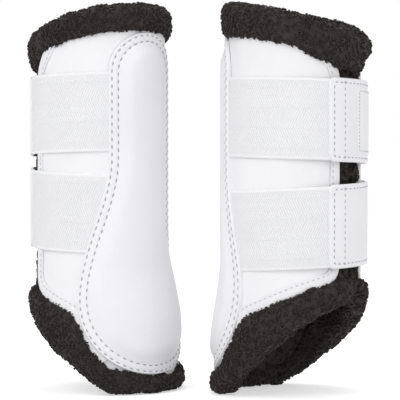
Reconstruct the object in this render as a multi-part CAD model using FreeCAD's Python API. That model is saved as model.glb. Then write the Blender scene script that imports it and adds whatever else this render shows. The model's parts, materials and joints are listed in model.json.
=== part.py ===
import FreeCAD, Part
import math
import os

# A mirrored pair of fleece-lined tendon boots, each closed round an empty leg space.
# Millimetres, +Z up. The pair stands on its hems at Z = 0, centred on the origin.
# Each boot is drawn in its own frame. Its axis is the local Z axis. An angle of 0 is the
# near edge of the strike pad, and positive angles run over the front flap to the closing
# edges. Angles are in degrees.

# ---- wall build-up ----
SHELL_RADIUS = 42.3        # outside of the shell between the straps
SHELL_WALL = 2.0
LINING_WALL = 8.0
LAYER_GAP = 0.2            # between layers that are sewn flat on each other

# ---- outline of the tube ----
SHELL_TOP = 229.0          # top edge of the shell above the pad
TOP_FALL = 17.0            # how much lower the top edge is at the closing edges
FLATTENING = 2.8           # the tube is this much flatter at the closing edges
FLARE = 8.0                # the shell spreads by this much towards the hem
FLARE_START = 88.0
FLARE_END = 25.0
FLARE_ANGLE = -60.0        # side where the flare is widest
CUT_MIDDLE = 55.5          # the lower edge is a slanting cut at this mean height
CUT_SLANT = 19.0
CUT_ANGLE = -48.0          # side where the cut is lowest
PAD_DROP = 28.5            # extra drop of the lower edge behind the pad's lobe
CORNER_DROP = 8.0          # rounding of the shell's corners at the closing edges
CORNER_RUN = 13.0

# ---- closing edges ----
FRONT_EDGE = 114.0         # shell edge of the front flap
BACK_EDGE = 163.0          # shell edge of the back panel
FRONT_LIP_END = 136.0      # the fleece reaches past each shell edge
BACK_LIP_END = 139.0
LIP_BULGE = 1.5
LIP_FOOT = 1.0             # the edge fleece ends this far above the hem
LIP_HEAD = 2.2             # and this far below the collar
BINDING_WIDTH = 6.5
BINDING_THICKNESS = 1.0
BINDING_RAISE = 0.9        # keeps it clear of the fleece below

# ---- fleece rolls ----
COLLAR_HEIGHT = 19.5
COLLAR_BULGE = 5.0
HEM_BULGE = 2.6
HEM_MIDDLE = 24.0          # mean height of the hem's lower side
HEM_SLANT = 34.0
HEM_PRESS = 1.2            # the fleece is pressed flat by this much where it stands
ROLL_INSET = 1.0           # a roll stands this much into the leg space
ROLL_DROP = 15.0           # rounding of the rolls where they end
ROLL_RUN = 30.0

# ---- strike pad ----
PAD_ANGLE = -36.0          # middle of the pad
PAD_HALF = 36.0            # half width of its column, as an angle
LOBE_HALF = 61.6           # half width of its lobe
LOBE_LEVEL = 62.0          # height where the lobe is widest
PAD_BOTTOM = 10.0
PAD_SETBACK = 1.5          # pad top below the shell's top edge
DOME_HEIGHT = 26.0
NEAR_WAIST = 150.0         # where the lobe's curve runs into the column, near side
FAR_WAIST = 108.0          # the same on the far side
PAD_SKIN = 2.2
FOAM_CROWN = 3.2
FOAM_SHARE = 0.72          # the foam ends well inside the stitches
FOAM_EASE = 0.7            # the skin spans loosely over the foam

# ---- closures ----
STRAP_CLEARANCE = 0.4      # elastic outside the shell
ELASTIC_WIDTH = 50.0
ELASTIC_THICKNESS = 1.6
UPPER_STRAP = 176.0        # height of the strap's middle where it is sewn
UPPER_RISE = -4.0          # change of height up to the tab's end
LOWER_STRAP = 109.0
LOWER_RISE = 6.0
TAB_ANGLE = 101.0          # where the elastic ends and the tab starts
TAB_END = 184.0
TAB_MARGIN = 1.0           # tab wider than the elastic on each side
TAB_THICKNESS = 1.4
TAB_DROP = 5.0             # rounding of the tab's corners
TAB_RUN = 9.0
HOOK_THICKNESS = 1.0
HOOK_INSET = 4.0
LOOP_HEIGHT = 40.0
LOOP_THICKNESS = 1.2
LOOP_START = -80.0
LABEL_START = 131.0
LABEL_END = 171.0
LABEL_HEIGHT = 40.0
LABEL_THICKNESS = 0.5

# ---- hinges and fold line ----
HINGE_RADIUS = 51.0        # axis of the flap's fold, from the boot's axis
STRAP_HINGE_RADIUS = 46.6
TAB_HINGE_RADIUS = 46.6
FOLD_GAP = 1.0             # opening between the body and the flap along the fold
FOLD_VIEW = 12.0           # the fold is cut square to this direction
END_GAP = 0.5              # between the end of a strap and its neighbour

# ---- placing of the pair ----
LEFT_CENTRE = (-64.0, 17.0)
RIGHT_CENTRE = (62.0, -17.0)
LEFT_TURN = -80.0          # direction of angle 0 on the left boot
RIGHT_TURN = -166.0        # and on the right boot

LINING_OUTSIDE = SHELL_WALL + LAYER_GAP
LINING_INSIDE = LINING_OUTSIDE + LINING_WALL
STRAP_RADIUS = SHELL_RADIUS + STRAP_CLEARANCE
OPENING_MIDDLE = (FRONT_EDGE + BACK_EDGE) / 2
BACK_EDGE_TURN = BACK_EDGE - 360.0
BACK_LIP_TURN = BACK_LIP_END - 360.0
PAD_TOP = SHELL_TOP - PAD_SETBACK
FLOOR = 0.0


def cosine(angle):
    return math.cos(math.radians(angle))


def sine(angle):
    return math.sin(math.radians(angle))


def smooth(value):
    """Rises from 0 to 1 with level ends."""
    t = min(1.0, max(0.0, value))
    return t * t * (3.0 - 2.0 * t)


def polar(angle, radius, height):
    return FreeCAD.Vector(radius * cosine(angle), radius * sine(angle), height)


def degrees_for(length):
    """Angle that a length takes on the shell."""
    return math.degrees(length / SHELL_RADIUS)


# ---- surfaces and outlines ----
def shell_radius(angle, height):
    """Outside of the shell."""
    flat = FLATTENING * max(0.0, cosine(angle - OPENING_MIDDLE)) ** 2
    reach = (FLARE_START - height) / (FLARE_START - FLARE_END)
    side = 0.5 + 0.5 * cosine(angle - FLARE_ANGLE)
    return SHELL_RADIUS - flat + FLARE * side * smooth(reach)


def offset(distance):
    """Radius function of a surface that far outside the shell."""
    return lambda angle, height: shell_radius(angle, height) + distance


def rounding(angle, front, back, drop, run):
    """How much a soft corner takes off at an angle."""
    room = min(front - angle, angle - back) * math.radians(1.0) * SHELL_RADIUS
    return drop * max(0.0, 1.0 - room / run) ** 2


def shell_corner(angle):
    return rounding(angle, FRONT_EDGE, BACK_EDGE_TURN, CORNER_DROP, CORNER_RUN)


def roll_corner(angle):
    return rounding(angle, FRONT_LIP_END, BACK_LIP_TURN, ROLL_DROP, ROLL_RUN)


def held(angle):
    """Past a shell edge the outline stays as it is at that edge."""
    return min(FRONT_EDGE, max(BACK_EDGE_TURN, angle))


def top_line(angle):
    away = abs(held(angle) - PAD_ANGLE) / (FRONT_EDGE - PAD_ANGLE)
    return SHELL_TOP - TOP_FALL * away ** 2


def shell_top(angle):
    return top_line(angle) - shell_corner(angle)


def cut_line(angle):
    lean = cosine(held(angle) - CUT_ANGLE)
    return CUT_MIDDLE - CUT_SLANT * lean - PAD_DROP * smooth((lean - 0.17) / 0.5)


def shell_bottom(angle):
    return cut_line(angle) + shell_corner(angle)


def collar_top(angle):
    return top_line(angle) + COLLAR_HEIGHT - roll_corner(angle)


def hem_bottom(angle):
    lean = cosine(angle - CUT_ANGLE)
    return max(FLOOR - HEM_PRESS, HEM_MIDDLE - HEM_SLANT * lean) + roll_corner(angle)


def lobe_side(height, waist, half):
    """Half width of the pad from its lobe up to its column."""
    return half + (LOBE_HALF - half) * (1.0 - smooth((height - LOBE_LEVEL) / (waist - LOBE_LEVEL)))


def pad_side(height, waist, half):
    """Half width of the pad with its round bottom and domed top."""
    low = min(1.0, max(0.0, (LOBE_LEVEL - height) / (LOBE_LEVEL - PAD_BOTTOM)))
    high = min(1.0, max(0.0, (height - PAD_TOP + DOME_HEIGHT) / DOME_HEIGHT))
    return lobe_side(height, waist, half) * math.sqrt(1.0 - low ** 2) * math.sqrt(1.0 - high ** 2)


def near_side(height):
    return pad_side(height, NEAR_WAIST, PAD_HALF)


def far_side(height):
    return pad_side(height, FAR_WAIST, PAD_HALF + 2.0)


def fold_angle(height):
    """Angle of the fold line: it follows the pad's near edge."""
    return PAD_ANGLE + lobe_side(height, NEAR_WAIST, PAD_HALF)


# ---- making solids ----
def spline(points):
    curve = Part.BSplineCurve()
    curve.interpolate(points)
    return curve.toShape()


def line(first, last):
    return Part.makeLine(first, last)


def strip_wire(outside, inside):
    """Closed wire from two rows of points that run the same way."""
    edges = [spline(outside)]
    edges.append(line(outside[-1], inside[-1]))
    edges.append(spline(inside[::-1]))
    edges.append(line(inside[0], outside[0]))
    return Part.Wire(edges)


def stations(first, last, step):
    """Evenly spaced angles for the sections of a loft."""
    count = max(2, int(math.ceil((last - first) / step)))
    return [first + (last - first) * i / count for i in range(count + 1)]


def ring_stations(lips):
    """Angles shared by all rings, so that their layers follow each other."""
    angles = stations(BACK_EDGE_TURN, FRONT_EDGE, 6.5)
    if lips:
        angles = stations(BACK_LIP_TURN, BACK_EDGE_TURN, 6.5)[:-1] + angles
        angles += stations(FRONT_EDGE, FRONT_LIP_END, 7.5)[1:]
    return angles


TALL_ROWS = (0.0, 0.07, 0.14, 0.21, 0.28, 0.36, 0.5, 0.75, 1.0)
LOW_ROWS = (0.0, 0.5, 1.0)


def sheet(angles, inside, outside, bottom, top, rows):
    """Sheet between two radius functions and two edge lines."""
    wires = []
    for angle in angles:
        low = bottom(angle)
        span = top(angle) - low
        levels = [low + span * part for part in rows]
        outer = [polar(angle, outside(angle, z), z) for z in levels]
        inner = [polar(angle, inside(angle, z), z) for z in levels]
        wires.append(strip_wire(outer, inner))
    return Part.makeLoft(wires, True)


def roll(angles, inner, outer, seat, crest):
    """Half-round roll that sits with its flat side on an edge line."""
    wires = []
    for angle in angles:
        base = seat(angle)
        height = crest(angle) - base
        rim = []
        for i in range(7):
            turn = 180.0 * i / 6
            z = base + height * sine(turn) ** 0.8
            middle = shell_radius(angle, z) + (outer + inner) / 2
            rim.append(polar(angle, middle + (outer - inner) / 2 * cosine(turn), z))
        wires.append(Part.Wire([spline(rim), line(rim[-1], rim[0])]))
    return Part.makeLoft(wires, True)


def fold_slot(width):
    """Thin curved wall that cuts a ring or a strap along the fold line."""
    away = polar(FOLD_VIEW, 1.0, 0.0)
    across = polar(FOLD_VIEW + 90.0, 1.0, 0.0)
    base = away * (SHELL_RADIUS / 3)
    levels = [FLOOR - 20.0, LOBE_LEVEL - 20.0]
    levels += [LOBE_LEVEL + (NEAR_WAIST - LOBE_LEVEL) * i / 6 for i in range(7)]
    levels += [NEAR_WAIST + 20.0, SHELL_TOP + 2 * COLLAR_HEIGHT]
    near = []
    far = []
    for z in levels:
        side = (STRAP_RADIUS + 1.0) * sine(fold_angle(z) - FOLD_VIEW)
        near.append(base + across * side + FreeCAD.Vector(0, 0, z))
        far.append(base + across * (side + width) + FreeCAD.Vector(0, 0, z))
    face = Part.Face(strip_wire(near, far))
    return face.extrude(away * (2 * SHELL_RADIUS))


def cut_apart(whole, slot):
    """The solids on the two sides of the fold, the larger one first."""
    solids = whole.cut(slot).Solids
    return sorted(solids, key=lambda solid: solid.Volume, reverse=True)


# ---- the pieces of one boot ----
def shell_ring():
    inside = offset(-SHELL_WALL)
    return sheet(ring_stations(False), inside, offset(0.0), shell_bottom, shell_top, TALL_ROWS)


def lining_ring():
    inside = offset(-LINING_INSIDE)
    outside = offset(-LINING_OUTSIDE)
    return sheet(ring_stations(False), inside, outside, cut_line, top_line, TALL_ROWS)


def collar_ring():
    seat = lambda angle: top_line(angle) + LAYER_GAP
    return roll(ring_stations(True), -LINING_INSIDE - ROLL_INSET, COLLAR_BULGE, seat, collar_top)


def hem_ring():
    seat = lambda angle: cut_line(angle) - LAYER_GAP
    ring = roll(ring_stations(True), -LINING_INSIDE - ROLL_INSET, HEM_BULGE, seat, hem_bottom)
    size = 4 * SHELL_RADIUS
    below = Part.makeBox(size, size, size, FreeCAD.Vector(-size / 2, -size / 2, FLOOR - size))
    return ring.cut(below)


def edge_fleece(edge, end):
    """Fleece that shows along a closing edge."""
    reach = end - edge
    low = cut_line(edge) + LIP_FOOT
    start = edge + math.copysign(degrees_for(LAYER_GAP * 2), reach)
    parts = [0.0, 0.25, 0.55, 0.85]
    spread = [start + (end - start) * part for part in parts]
    outer = [polar(a, shell_radius(edge, low) + LIP_BULGE, low) for a in spread]
    inner = [polar(a, shell_radius(edge, low) - LINING_INSIDE, low) for a in spread]
    tip = polar(end, shell_radius(edge, low) - LINING_INSIDE / 2, low)
    rim = outer + [tip] + inner[::-1]
    face = Part.Face(Part.Wire([spline(rim), line(rim[-1], rim[0])]))
    return face.extrude(FreeCAD.Vector(0, 0, top_line(edge) - LIP_HEAD - low))


def binding(first, edge):
    """Bound border of the shell: along its lower edge and up its closing edge."""
    inside = offset(LAYER_GAP)
    outside = offset(LAYER_GAP + BINDING_THICKNESS)
    side = math.copysign(1.0, edge - first)
    turn = edge - side * degrees_for(BINDING_WIDTH)
    ends = sorted([first, turn - side * degrees_for(LAYER_GAP)])
    shared = [a for a in ring_stations(False) if ends[0] + 2.0 < a < ends[1] - 2.0]
    side_angles = stations(*sorted([turn, edge]), 3.0)
    band = lambda angle: shell_bottom(angle) + BINDING_WIDTH
    foot = lambda angle: shell_bottom(angle) + BINDING_RAISE
    lower = sheet([ends[0]] + shared + [ends[1]], inside, outside, foot, band, LOW_ROWS)
    upright = sheet(side_angles, inside, outside, foot, shell_top, TALL_ROWS)
    return Part.makeCompound([lower, upright])


def pad_levels(shrink):
    """Heights of the pad's sections, closer together at its round ends."""
    low = [LOBE_LEVEL - (LOBE_LEVEL - PAD_BOTTOM) * cosine(a) for a in (8, 24, 42, 62)]
    middle = [LOBE_LEVEL + (PAD_TOP - DOME_HEIGHT - LOBE_LEVEL) * i / 8 for i in range(9)]
    high = [PAD_TOP - DOME_HEIGHT * (1.0 - cosine(a)) for a in (62, 42, 24, 8)]
    levels = low + middle + high
    centre = (PAD_TOP + PAD_BOTTOM) / 2
    return [(z, centre + (z - centre) * shrink) for z in levels]


def pad_lift(height, across):
    """Crown of the foam under the pad's skin."""
    along = (2 * height - PAD_TOP - PAD_BOTTOM) / (PAD_TOP - PAD_BOTTOM)
    return FOAM_CROWN * (1.0 - across ** 2) * (1.0 - along ** 6)


def pad_layer(shrink, inside, outside):
    """Shield-shaped layer whose sides follow the pad's outline."""
    wires = []
    for level, height in pad_levels(shrink):
        outer = []
        inner = []
        for i in range(9):
            across = (i / 4 - 1.0) * shrink
            side = near_side(level) if across > 0 else far_side(level)
            angle = PAD_ANGLE + across * side
            base = shell_radius(angle, height) + LAYER_GAP
            outer.append(polar(angle, base + outside(height, across), height))
            inner.append(polar(angle, base + inside(height, across), height))
        wires.append(strip_wire(outer, inner))
    return Part.makeLoft(wires, True)


def strike_pad():
    skin = lambda height, across: pad_lift(height, across) + PAD_SKIN
    return pad_layer(1.0, pad_lift, skin)


def strike_pad_foam():
    flat = lambda height, across: 0.0
    crown = lambda height, across: pad_lift(height, across) - FOAM_EASE
    return pad_layer(FOAM_SHARE, flat, crown)


def strap_middle(angle, level, rise):
    return level + rise * angle / TAB_END


def strap_band(first, last, level, rise, height, low, high, drop=0.0):
    """Band round the closed boot, low and high above the strap's inner face."""
    inside = lambda angle, z: STRAP_RADIUS + low
    outside = lambda angle, z: STRAP_RADIUS + high

    def half(angle):
        room = (last - angle) * math.radians(1.0) * SHELL_RADIUS
        return height / 2 - drop * max(0.0, 1.0 - room / TAB_RUN) ** 2

    bottom = lambda angle: strap_middle(angle, level, rise) - half(angle)
    top = lambda angle: strap_middle(angle, level, rise) + half(angle)
    return sheet(stations(first, last, 6.5), inside, outside, bottom, top, LOW_ROWS)


def elastic(level, rise, slot):
    end = TAB_ANGLE - degrees_for(END_GAP / 2)
    band = strap_band(-8.0, end, level, rise, ELASTIC_WIDTH, 0.0, ELASTIC_THICKNESS)
    return cut_apart(band, slot)[0]


def tab(level, rise):
    low = HOOK_THICKNESS + LAYER_GAP
    start = TAB_ANGLE + degrees_for(END_GAP / 2)
    width = ELASTIC_WIDTH + 2 * TAB_MARGIN
    return strap_band(start, TAB_END, level, rise, width, low, low + TAB_THICKNESS, TAB_DROP)


def hook(level, rise):
    start = TAB_ANGLE + degrees_for(HOOK_INSET)
    end = TAB_END - degrees_for(HOOK_INSET)
    width = ELASTIC_WIDTH - 2 * HOOK_INSET
    return strap_band(start, end, level, rise, width, 0.0, HOOK_THICKNESS)


def label(level, rise):
    low = HOOK_THICKNESS + TAB_THICKNESS + 2 * LAYER_GAP
    high = low + LABEL_THICKNESS
    return strap_band(LABEL_START, LABEL_END, level, rise, LABEL_HEIGHT, low, high)


def loop_patch(level, rise):
    """Loop tape on the back panel, level with the closed tab."""
    middle = strap_middle(TAB_END, level, rise)
    bottom = lambda angle: middle - LOOP_HEIGHT / 2
    top = lambda angle: middle + LOOP_HEIGHT / 2
    first = BACK_EDGE_TURN + degrees_for(BINDING_WIDTH + END_GAP)
    angles = stations(first, LOOP_START, 6.5)
    outside = offset(LAYER_GAP + LOOP_THICKNESS)
    return sheet(angles, offset(LAYER_GAP), outside, bottom, top, LOW_ROWS)


def build_boot():
    """All pieces of one boot in its own frame, by name."""
    fold = fold_slot(FOLD_GAP)
    strap_start = fold_slot(FOLD_GAP + END_GAP)
    pieces = {}
    rings = {"shell": shell_ring(), "lining": lining_ring()}
    rings["collar"] = collar_ring()
    rings["hem"] = hem_ring()
    for name, ring in rings.items():
        parts = cut_apart(ring, fold)
        pieces[name + "_body"] = parts[0]
        pieces[name + "_flap"] = parts[1]
    pieces["edge_fleece_body"] = edge_fleece(BACK_EDGE_TURN, BACK_LIP_TURN)
    pieces["edge_fleece_flap"] = edge_fleece(FRONT_EDGE, FRONT_LIP_END)
    pad_far = PAD_ANGLE - LOBE_HALF - degrees_for(2.0)
    pad_near = PAD_ANGLE + LOBE_HALF + degrees_for(FOLD_GAP * 2)
    pieces["binding_body"] = binding(pad_far, BACK_EDGE_TURN)
    pieces["binding_flap"] = binding(pad_near, FRONT_EDGE)
    pieces["strike_pad"] = strike_pad()
    pieces["strike_pad_foam"] = strike_pad_foam()
    straps = {"upper": (UPPER_STRAP, UPPER_RISE), "lower": (LOWER_STRAP, LOWER_RISE)}
    for name, (level, rise) in straps.items():
        pieces[name + "_elastic"] = elastic(level, rise, strap_start)
        pieces[name + "_tab"] = tab(level, rise)
        pieces[name + "_hook"] = hook(level, rise)
        pieces[name + "_loop"] = loop_patch(level, rise)
    pieces["label"] = label(UPPER_STRAP, UPPER_RISE)
    return pieces


def placed(shape, hand, turn, centre):
    """A boot's piece in the pair's frame; hand -1 is the mirrored boot."""
    moved = shape.copy()
    if hand < 0:
        moved = moved.mirror(FreeCAD.Vector(), FreeCAD.Vector(0, 1, 0))
    moved.rotate(FreeCAD.Vector(), FreeCAD.Vector(0, 0, 1), turn)
    moved.translate(FreeCAD.Vector(centre[0], centre[1], 0))
    return moved


def centred(pair):
    """Puts the origin under the middle of the pair's box."""
    box = FreeCAD.BoundBox()
    for shape in pair.values():
        box.add(shape.optimalBoundingBox(False, False))
    shift = FreeCAD.Vector(-box.Center.x, -box.Center.y, 0)
    for shape in pair.values():
        shape.translate(shift)
    return pair, shift


def build_pair():
    pieces = build_boot()
    pair = {}
    for name, shape in pieces.items():
        pair["left_" + name] = placed(shape, -1, LEFT_TURN, LEFT_CENTRE)
        pair["right_" + name] = placed(shape, 1, RIGHT_TURN, RIGHT_CENTRE)
    return centred(pair)


def main():
    os.makedirs("parts", exist_ok=True)
    pair, shift = build_pair()
    print("origin moved by", round(-shift.x, 3), round(-shift.y, 3))
    for name in sorted(pair):
        shape = pair[name]
        shape.exportStep("parts/" + name + ".step")
        print(name, len(shape.Solids), shape.isValid(), round(shape.Volume, 1))


if __name__ == "__main__":
    main()
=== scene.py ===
import json
import logging
import math
from dataclasses import dataclass
from enum import Enum
from typing import Any, Callable, Sequence

import bmesh
import bpy
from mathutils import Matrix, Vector, noise

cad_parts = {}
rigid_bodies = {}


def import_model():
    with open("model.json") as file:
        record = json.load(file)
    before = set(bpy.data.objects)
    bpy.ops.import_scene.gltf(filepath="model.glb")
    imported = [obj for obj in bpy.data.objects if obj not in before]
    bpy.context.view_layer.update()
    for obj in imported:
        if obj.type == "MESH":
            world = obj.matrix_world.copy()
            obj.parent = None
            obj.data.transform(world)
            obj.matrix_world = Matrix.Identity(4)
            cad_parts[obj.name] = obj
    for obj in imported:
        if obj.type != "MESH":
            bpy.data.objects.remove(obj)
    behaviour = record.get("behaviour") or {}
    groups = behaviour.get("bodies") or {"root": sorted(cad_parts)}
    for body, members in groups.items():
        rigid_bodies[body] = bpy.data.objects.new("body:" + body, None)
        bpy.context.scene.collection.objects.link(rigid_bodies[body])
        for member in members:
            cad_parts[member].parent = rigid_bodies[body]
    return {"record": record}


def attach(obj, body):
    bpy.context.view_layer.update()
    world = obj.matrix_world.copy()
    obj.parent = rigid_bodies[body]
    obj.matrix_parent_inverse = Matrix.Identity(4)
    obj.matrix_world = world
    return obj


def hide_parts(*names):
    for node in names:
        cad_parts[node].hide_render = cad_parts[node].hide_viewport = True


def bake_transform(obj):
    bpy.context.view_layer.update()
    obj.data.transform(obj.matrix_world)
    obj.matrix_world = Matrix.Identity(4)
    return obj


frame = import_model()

LOG = logging.getLogger("tendon_boots")
MM = 0.001
# Edges between faces that turn by more than this many degrees stay sharp.
SHARP_FROM = 58.0
# Angle where a boot's front pieces meet its back pieces, in degrees.
SEAM = -60.0
Point2 = tuple[float, float]
Point3 = tuple[float, float, float]
Colour = tuple[float, float, float]
Face = tuple[int, ...]
Piece = bpy.types.Object
Finish = bpy.types.Material
Line = Callable[[float], float]
Radius = Callable[[float, float], float]


class Side(Enum):
    """The two boots of the pair; the value is the hand of the boot's drawing."""

    LEFT = -1
    RIGHT = 1

    @property
    def word(self) -> str:
        """The side's name as the nodes spell it."""
        return self.name.lower()


class Level(Enum):
    """The two closures of a boot."""

    UPPER = "upper"
    LOWER = "lower"


def cosine(angle: float) -> float:
    """Cosine of an angle in degrees."""
    return math.cos(math.radians(angle))


def sine(angle: float) -> float:
    """Sine of an angle in degrees."""
    return math.sin(math.radians(angle))


def smooth(value: float) -> float:
    """Rises from 0 to 1 with level ends."""
    t = min(1.0, max(0.0, value))
    return t * t * (3.0 - 2.0 * t)


def rounding(share: float) -> float:
    """Rises from 0 to 1 like a quarter of a circle."""
    return math.sqrt(1.0 - (1.0 - min(1.0, max(0.0, share))) ** 2)


def spread(first: float, last: float, count: int) -> list[float]:
    """Evenly spaced numbers.

    Args:
        first: The first number.
        last: The last number.
        count: How many steps lie between them.

    Returns:
        count + 1 numbers.
    """
    return [first + (last - first) * i / count for i in range(count + 1)]


@dataclass(frozen=True)
class BootForm:
    """The boot's shape in its own frame: millimetres and degrees, as the solids have it."""

    shell_radius_mm: float = 42.3
    shell_wall: float = 2.0
    lining_wall: float = 8.0
    gap: float = 0.2
    shell_top: float = 229.0
    top_fall: float = 17.0
    flattening: float = 2.8
    flare: float = 8.0
    flare_start: float = 88.0
    flare_end: float = 25.0
    flare_angle: float = -60.0
    cut_middle: float = 55.5
    cut_slant: float = 19.0
    cut_angle: float = -48.0
    pad_drop: float = 28.5
    front_edge: float = 114.0
    back_edge: float = -197.0
    front_lip: float = 136.0
    back_lip: float = -221.0
    opening_middle: float = 138.5
    pad_angle: float = -36.0
    foot_corner: float = 10.0
    head_corner: float = 17.0
    collar_height: float = 19.5
    collar_foot: float = 1.2
    hem_middle: float = 24.0
    hem_slant: float = 34.0
    strap_radius: float = 42.7

    def radius(self, angle: float, height: float) -> float:
        """Outside radius of the shell."""
        flat = self.flattening * max(0.0, cosine(angle - self.opening_middle)) ** 2
        reach = (self.flare_start - height) / (self.flare_start - self.flare_end)
        side = 0.5 + 0.5 * cosine(angle - self.flare_angle)
        return self.shell_radius_mm - flat + self.flare * side * smooth(reach)

    def held(self, angle: float) -> float:
        """Keeps an angle between the shell's closing edges."""
        return min(self.front_edge, max(self.back_edge, angle))

    def top_line(self, angle: float) -> float:
        """Height of the shell's top edge."""
        away = abs(self.held(angle) - self.pad_angle) / (self.front_edge - self.pad_angle)
        return self.shell_top - self.top_fall * away**2

    def cut_line(self, angle: float) -> float:
        """Height of the shell's lower edge."""
        lean = cosine(self.held(angle) - self.cut_angle)
        return self.cut_middle - self.cut_slant * lean - self.pad_drop * smooth((lean - 0.17) / 0.5)

    def corner(self, angle: float, radius: float) -> float:
        """What a round corner of that radius takes off the shell at its closing edges."""
        room = min(self.front_edge - angle, angle - self.back_edge) * self.arc
        inside = min(radius, max(0.0, radius - room))
        return radius - math.sqrt(radius**2 - (0.985 * inside) ** 2)

    def end_rounding(self, angle: float) -> float:
        """What the fleece rolls lose where they end."""
        front, back = (self.front_lip - angle) * self.arc, (angle - self.back_lip) * self.arc
        return 8.0 * max(0.0, 1.0 - front / 16.0) ** 2 + 15.0 * max(0.0, 1.0 - back / 26.0) ** 2

    def collar_top(self, angle: float) -> float:
        """Crown of the collar."""
        return self.top_line(angle) + self.collar_height - self.end_rounding(angle)

    def hem_bottom(self, angle: float) -> float:
        """Underside of the hem."""
        lean = cosine(angle - self.cut_angle)
        return max(0.0, self.hem_middle - self.hem_slant * lean) + self.end_rounding(angle)

    @property
    def arc(self) -> float:
        """Length on the shell of one degree."""
        return math.radians(1.0) * self.shell_radius_mm

    @property
    def lining_inside(self) -> float:
        """Depth of the lining's inner face below the shell's outside."""
        return self.shell_wall + self.gap + self.lining_wall


@dataclass(frozen=True)
class Placement:
    """Where a boot stands in the pair."""

    hand: int
    turn: float
    centre: Point2

    def at(self, angle: float, radius: float, height: float) -> Vector:
        """A point of the boot's frame, in the pair's frame and in metres."""
        turned = math.radians(self.hand * angle + self.turn)
        x = radius * math.cos(turned) * MM + self.centre[0]
        y = radius * math.sin(turned) * MM + self.centre[1]
        return Vector((x, y, height * MM))


FORMS = {
    # The left boot's front panel ends earlier and shows a wider fleece border.
    Side.LEFT: BootForm(front_edge=75.0),
    # The right boot's collar is rolled further down over the shell.
    Side.RIGHT: BootForm(collar_foot=-2.6),
}
ARC = BootForm().arc
# The straps are soft and were closed at slightly different heights.
STRAP_END = 184.0
STRAP_RISES = (-4.0, 6.0)
STRAP_HEIGHTS = {Side.LEFT: (179.0, 114.0), Side.RIGHT: (175.5, 103.6)}


def placement(side: Side) -> Placement:
    """Reads a boot's axis from its leg space.

    Args:
        side: Which boot.

    Returns:
        The boot's placement.
    """
    for opening in frame["record"]["physics"]["openings"]:
        if opening["name"].startswith(side.word):
            low, high = opening["box_m"]
            centre = ((low[0] + high[0]) / 2, (low[1] + high[1]) / 2)
            return Placement(side.value, -80.0 if side is Side.LEFT else -166.0, centre)
    raise ValueError(side.word)


# ---------------------------------------------------------------- shader maths
def add_node(tree: bpy.types.NodeTree, kind: str, settings: dict[str, Any], inputs: dict[Any, Any]) -> Any:
    """Adds a node to a tree.

    Args:
        tree: The tree.
        kind: The node's type.
        settings: Its own settings.
        inputs: Values, output sockets or Values for its inputs, by name or number.

    Returns:
        The node.
    """
    made = tree.nodes.new(kind)
    for key, value in settings.items():
        setattr(made, key, value)
    for key, value in inputs.items():
        if isinstance(value, Value):
            value = value.socket
        if isinstance(value, bpy.types.NodeSocket):
            tree.links.new(value, made.inputs[key])
        else:
            made.inputs[key].default_value = value
    return made


class Value:
    """A node socket that takes part in Python expressions."""

    def __init__(self, shader: "Shader", socket: Any) -> None:
        """Keeps the shader that the socket belongs to."""
        self.shader = shader
        self.socket = socket

    def _math(self, operation: str, *inputs: Any) -> "Value":
        """Adds one Math node."""
        values = dict(enumerate(inputs))
        return self.shader.node("ShaderNodeMath", {"operation": operation}, values)

    def __add__(self, other: Any) -> "Value":
        """Sum."""
        return self._math("ADD", self, other)

    def __sub__(self, other: Any) -> "Value":
        """Difference."""
        return self._math("SUBTRACT", self, other)

    def __rsub__(self, other: Any) -> "Value":
        """Difference from a number."""
        return self._math("SUBTRACT", other, self)

    def __mul__(self, other: Any) -> "Value":
        """Product."""
        return self._math("MULTIPLY", self, other)

    def wave(self, pitch: float) -> "Value":
        """Wave between -1 and 1 that repeats at a pitch."""
        return self._math("SINE", self * (2 * math.pi / pitch))

    def ribs(self, pitch: float) -> "Value":
        """Wave between 0 and 1 that repeats at a pitch."""
        return self.wave(pitch) * 0.5 + 0.5

    def size(self) -> "Value":
        """Absolute value."""
        return self._math("ABSOLUTE", self)

    def part(self) -> "Value":
        """Fraction."""
        return self._math("FRACT", self)

    def above(self, other: Any) -> "Value":
        """1 where this is greater."""
        return self._math("GREATER_THAN", self, other)


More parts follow.
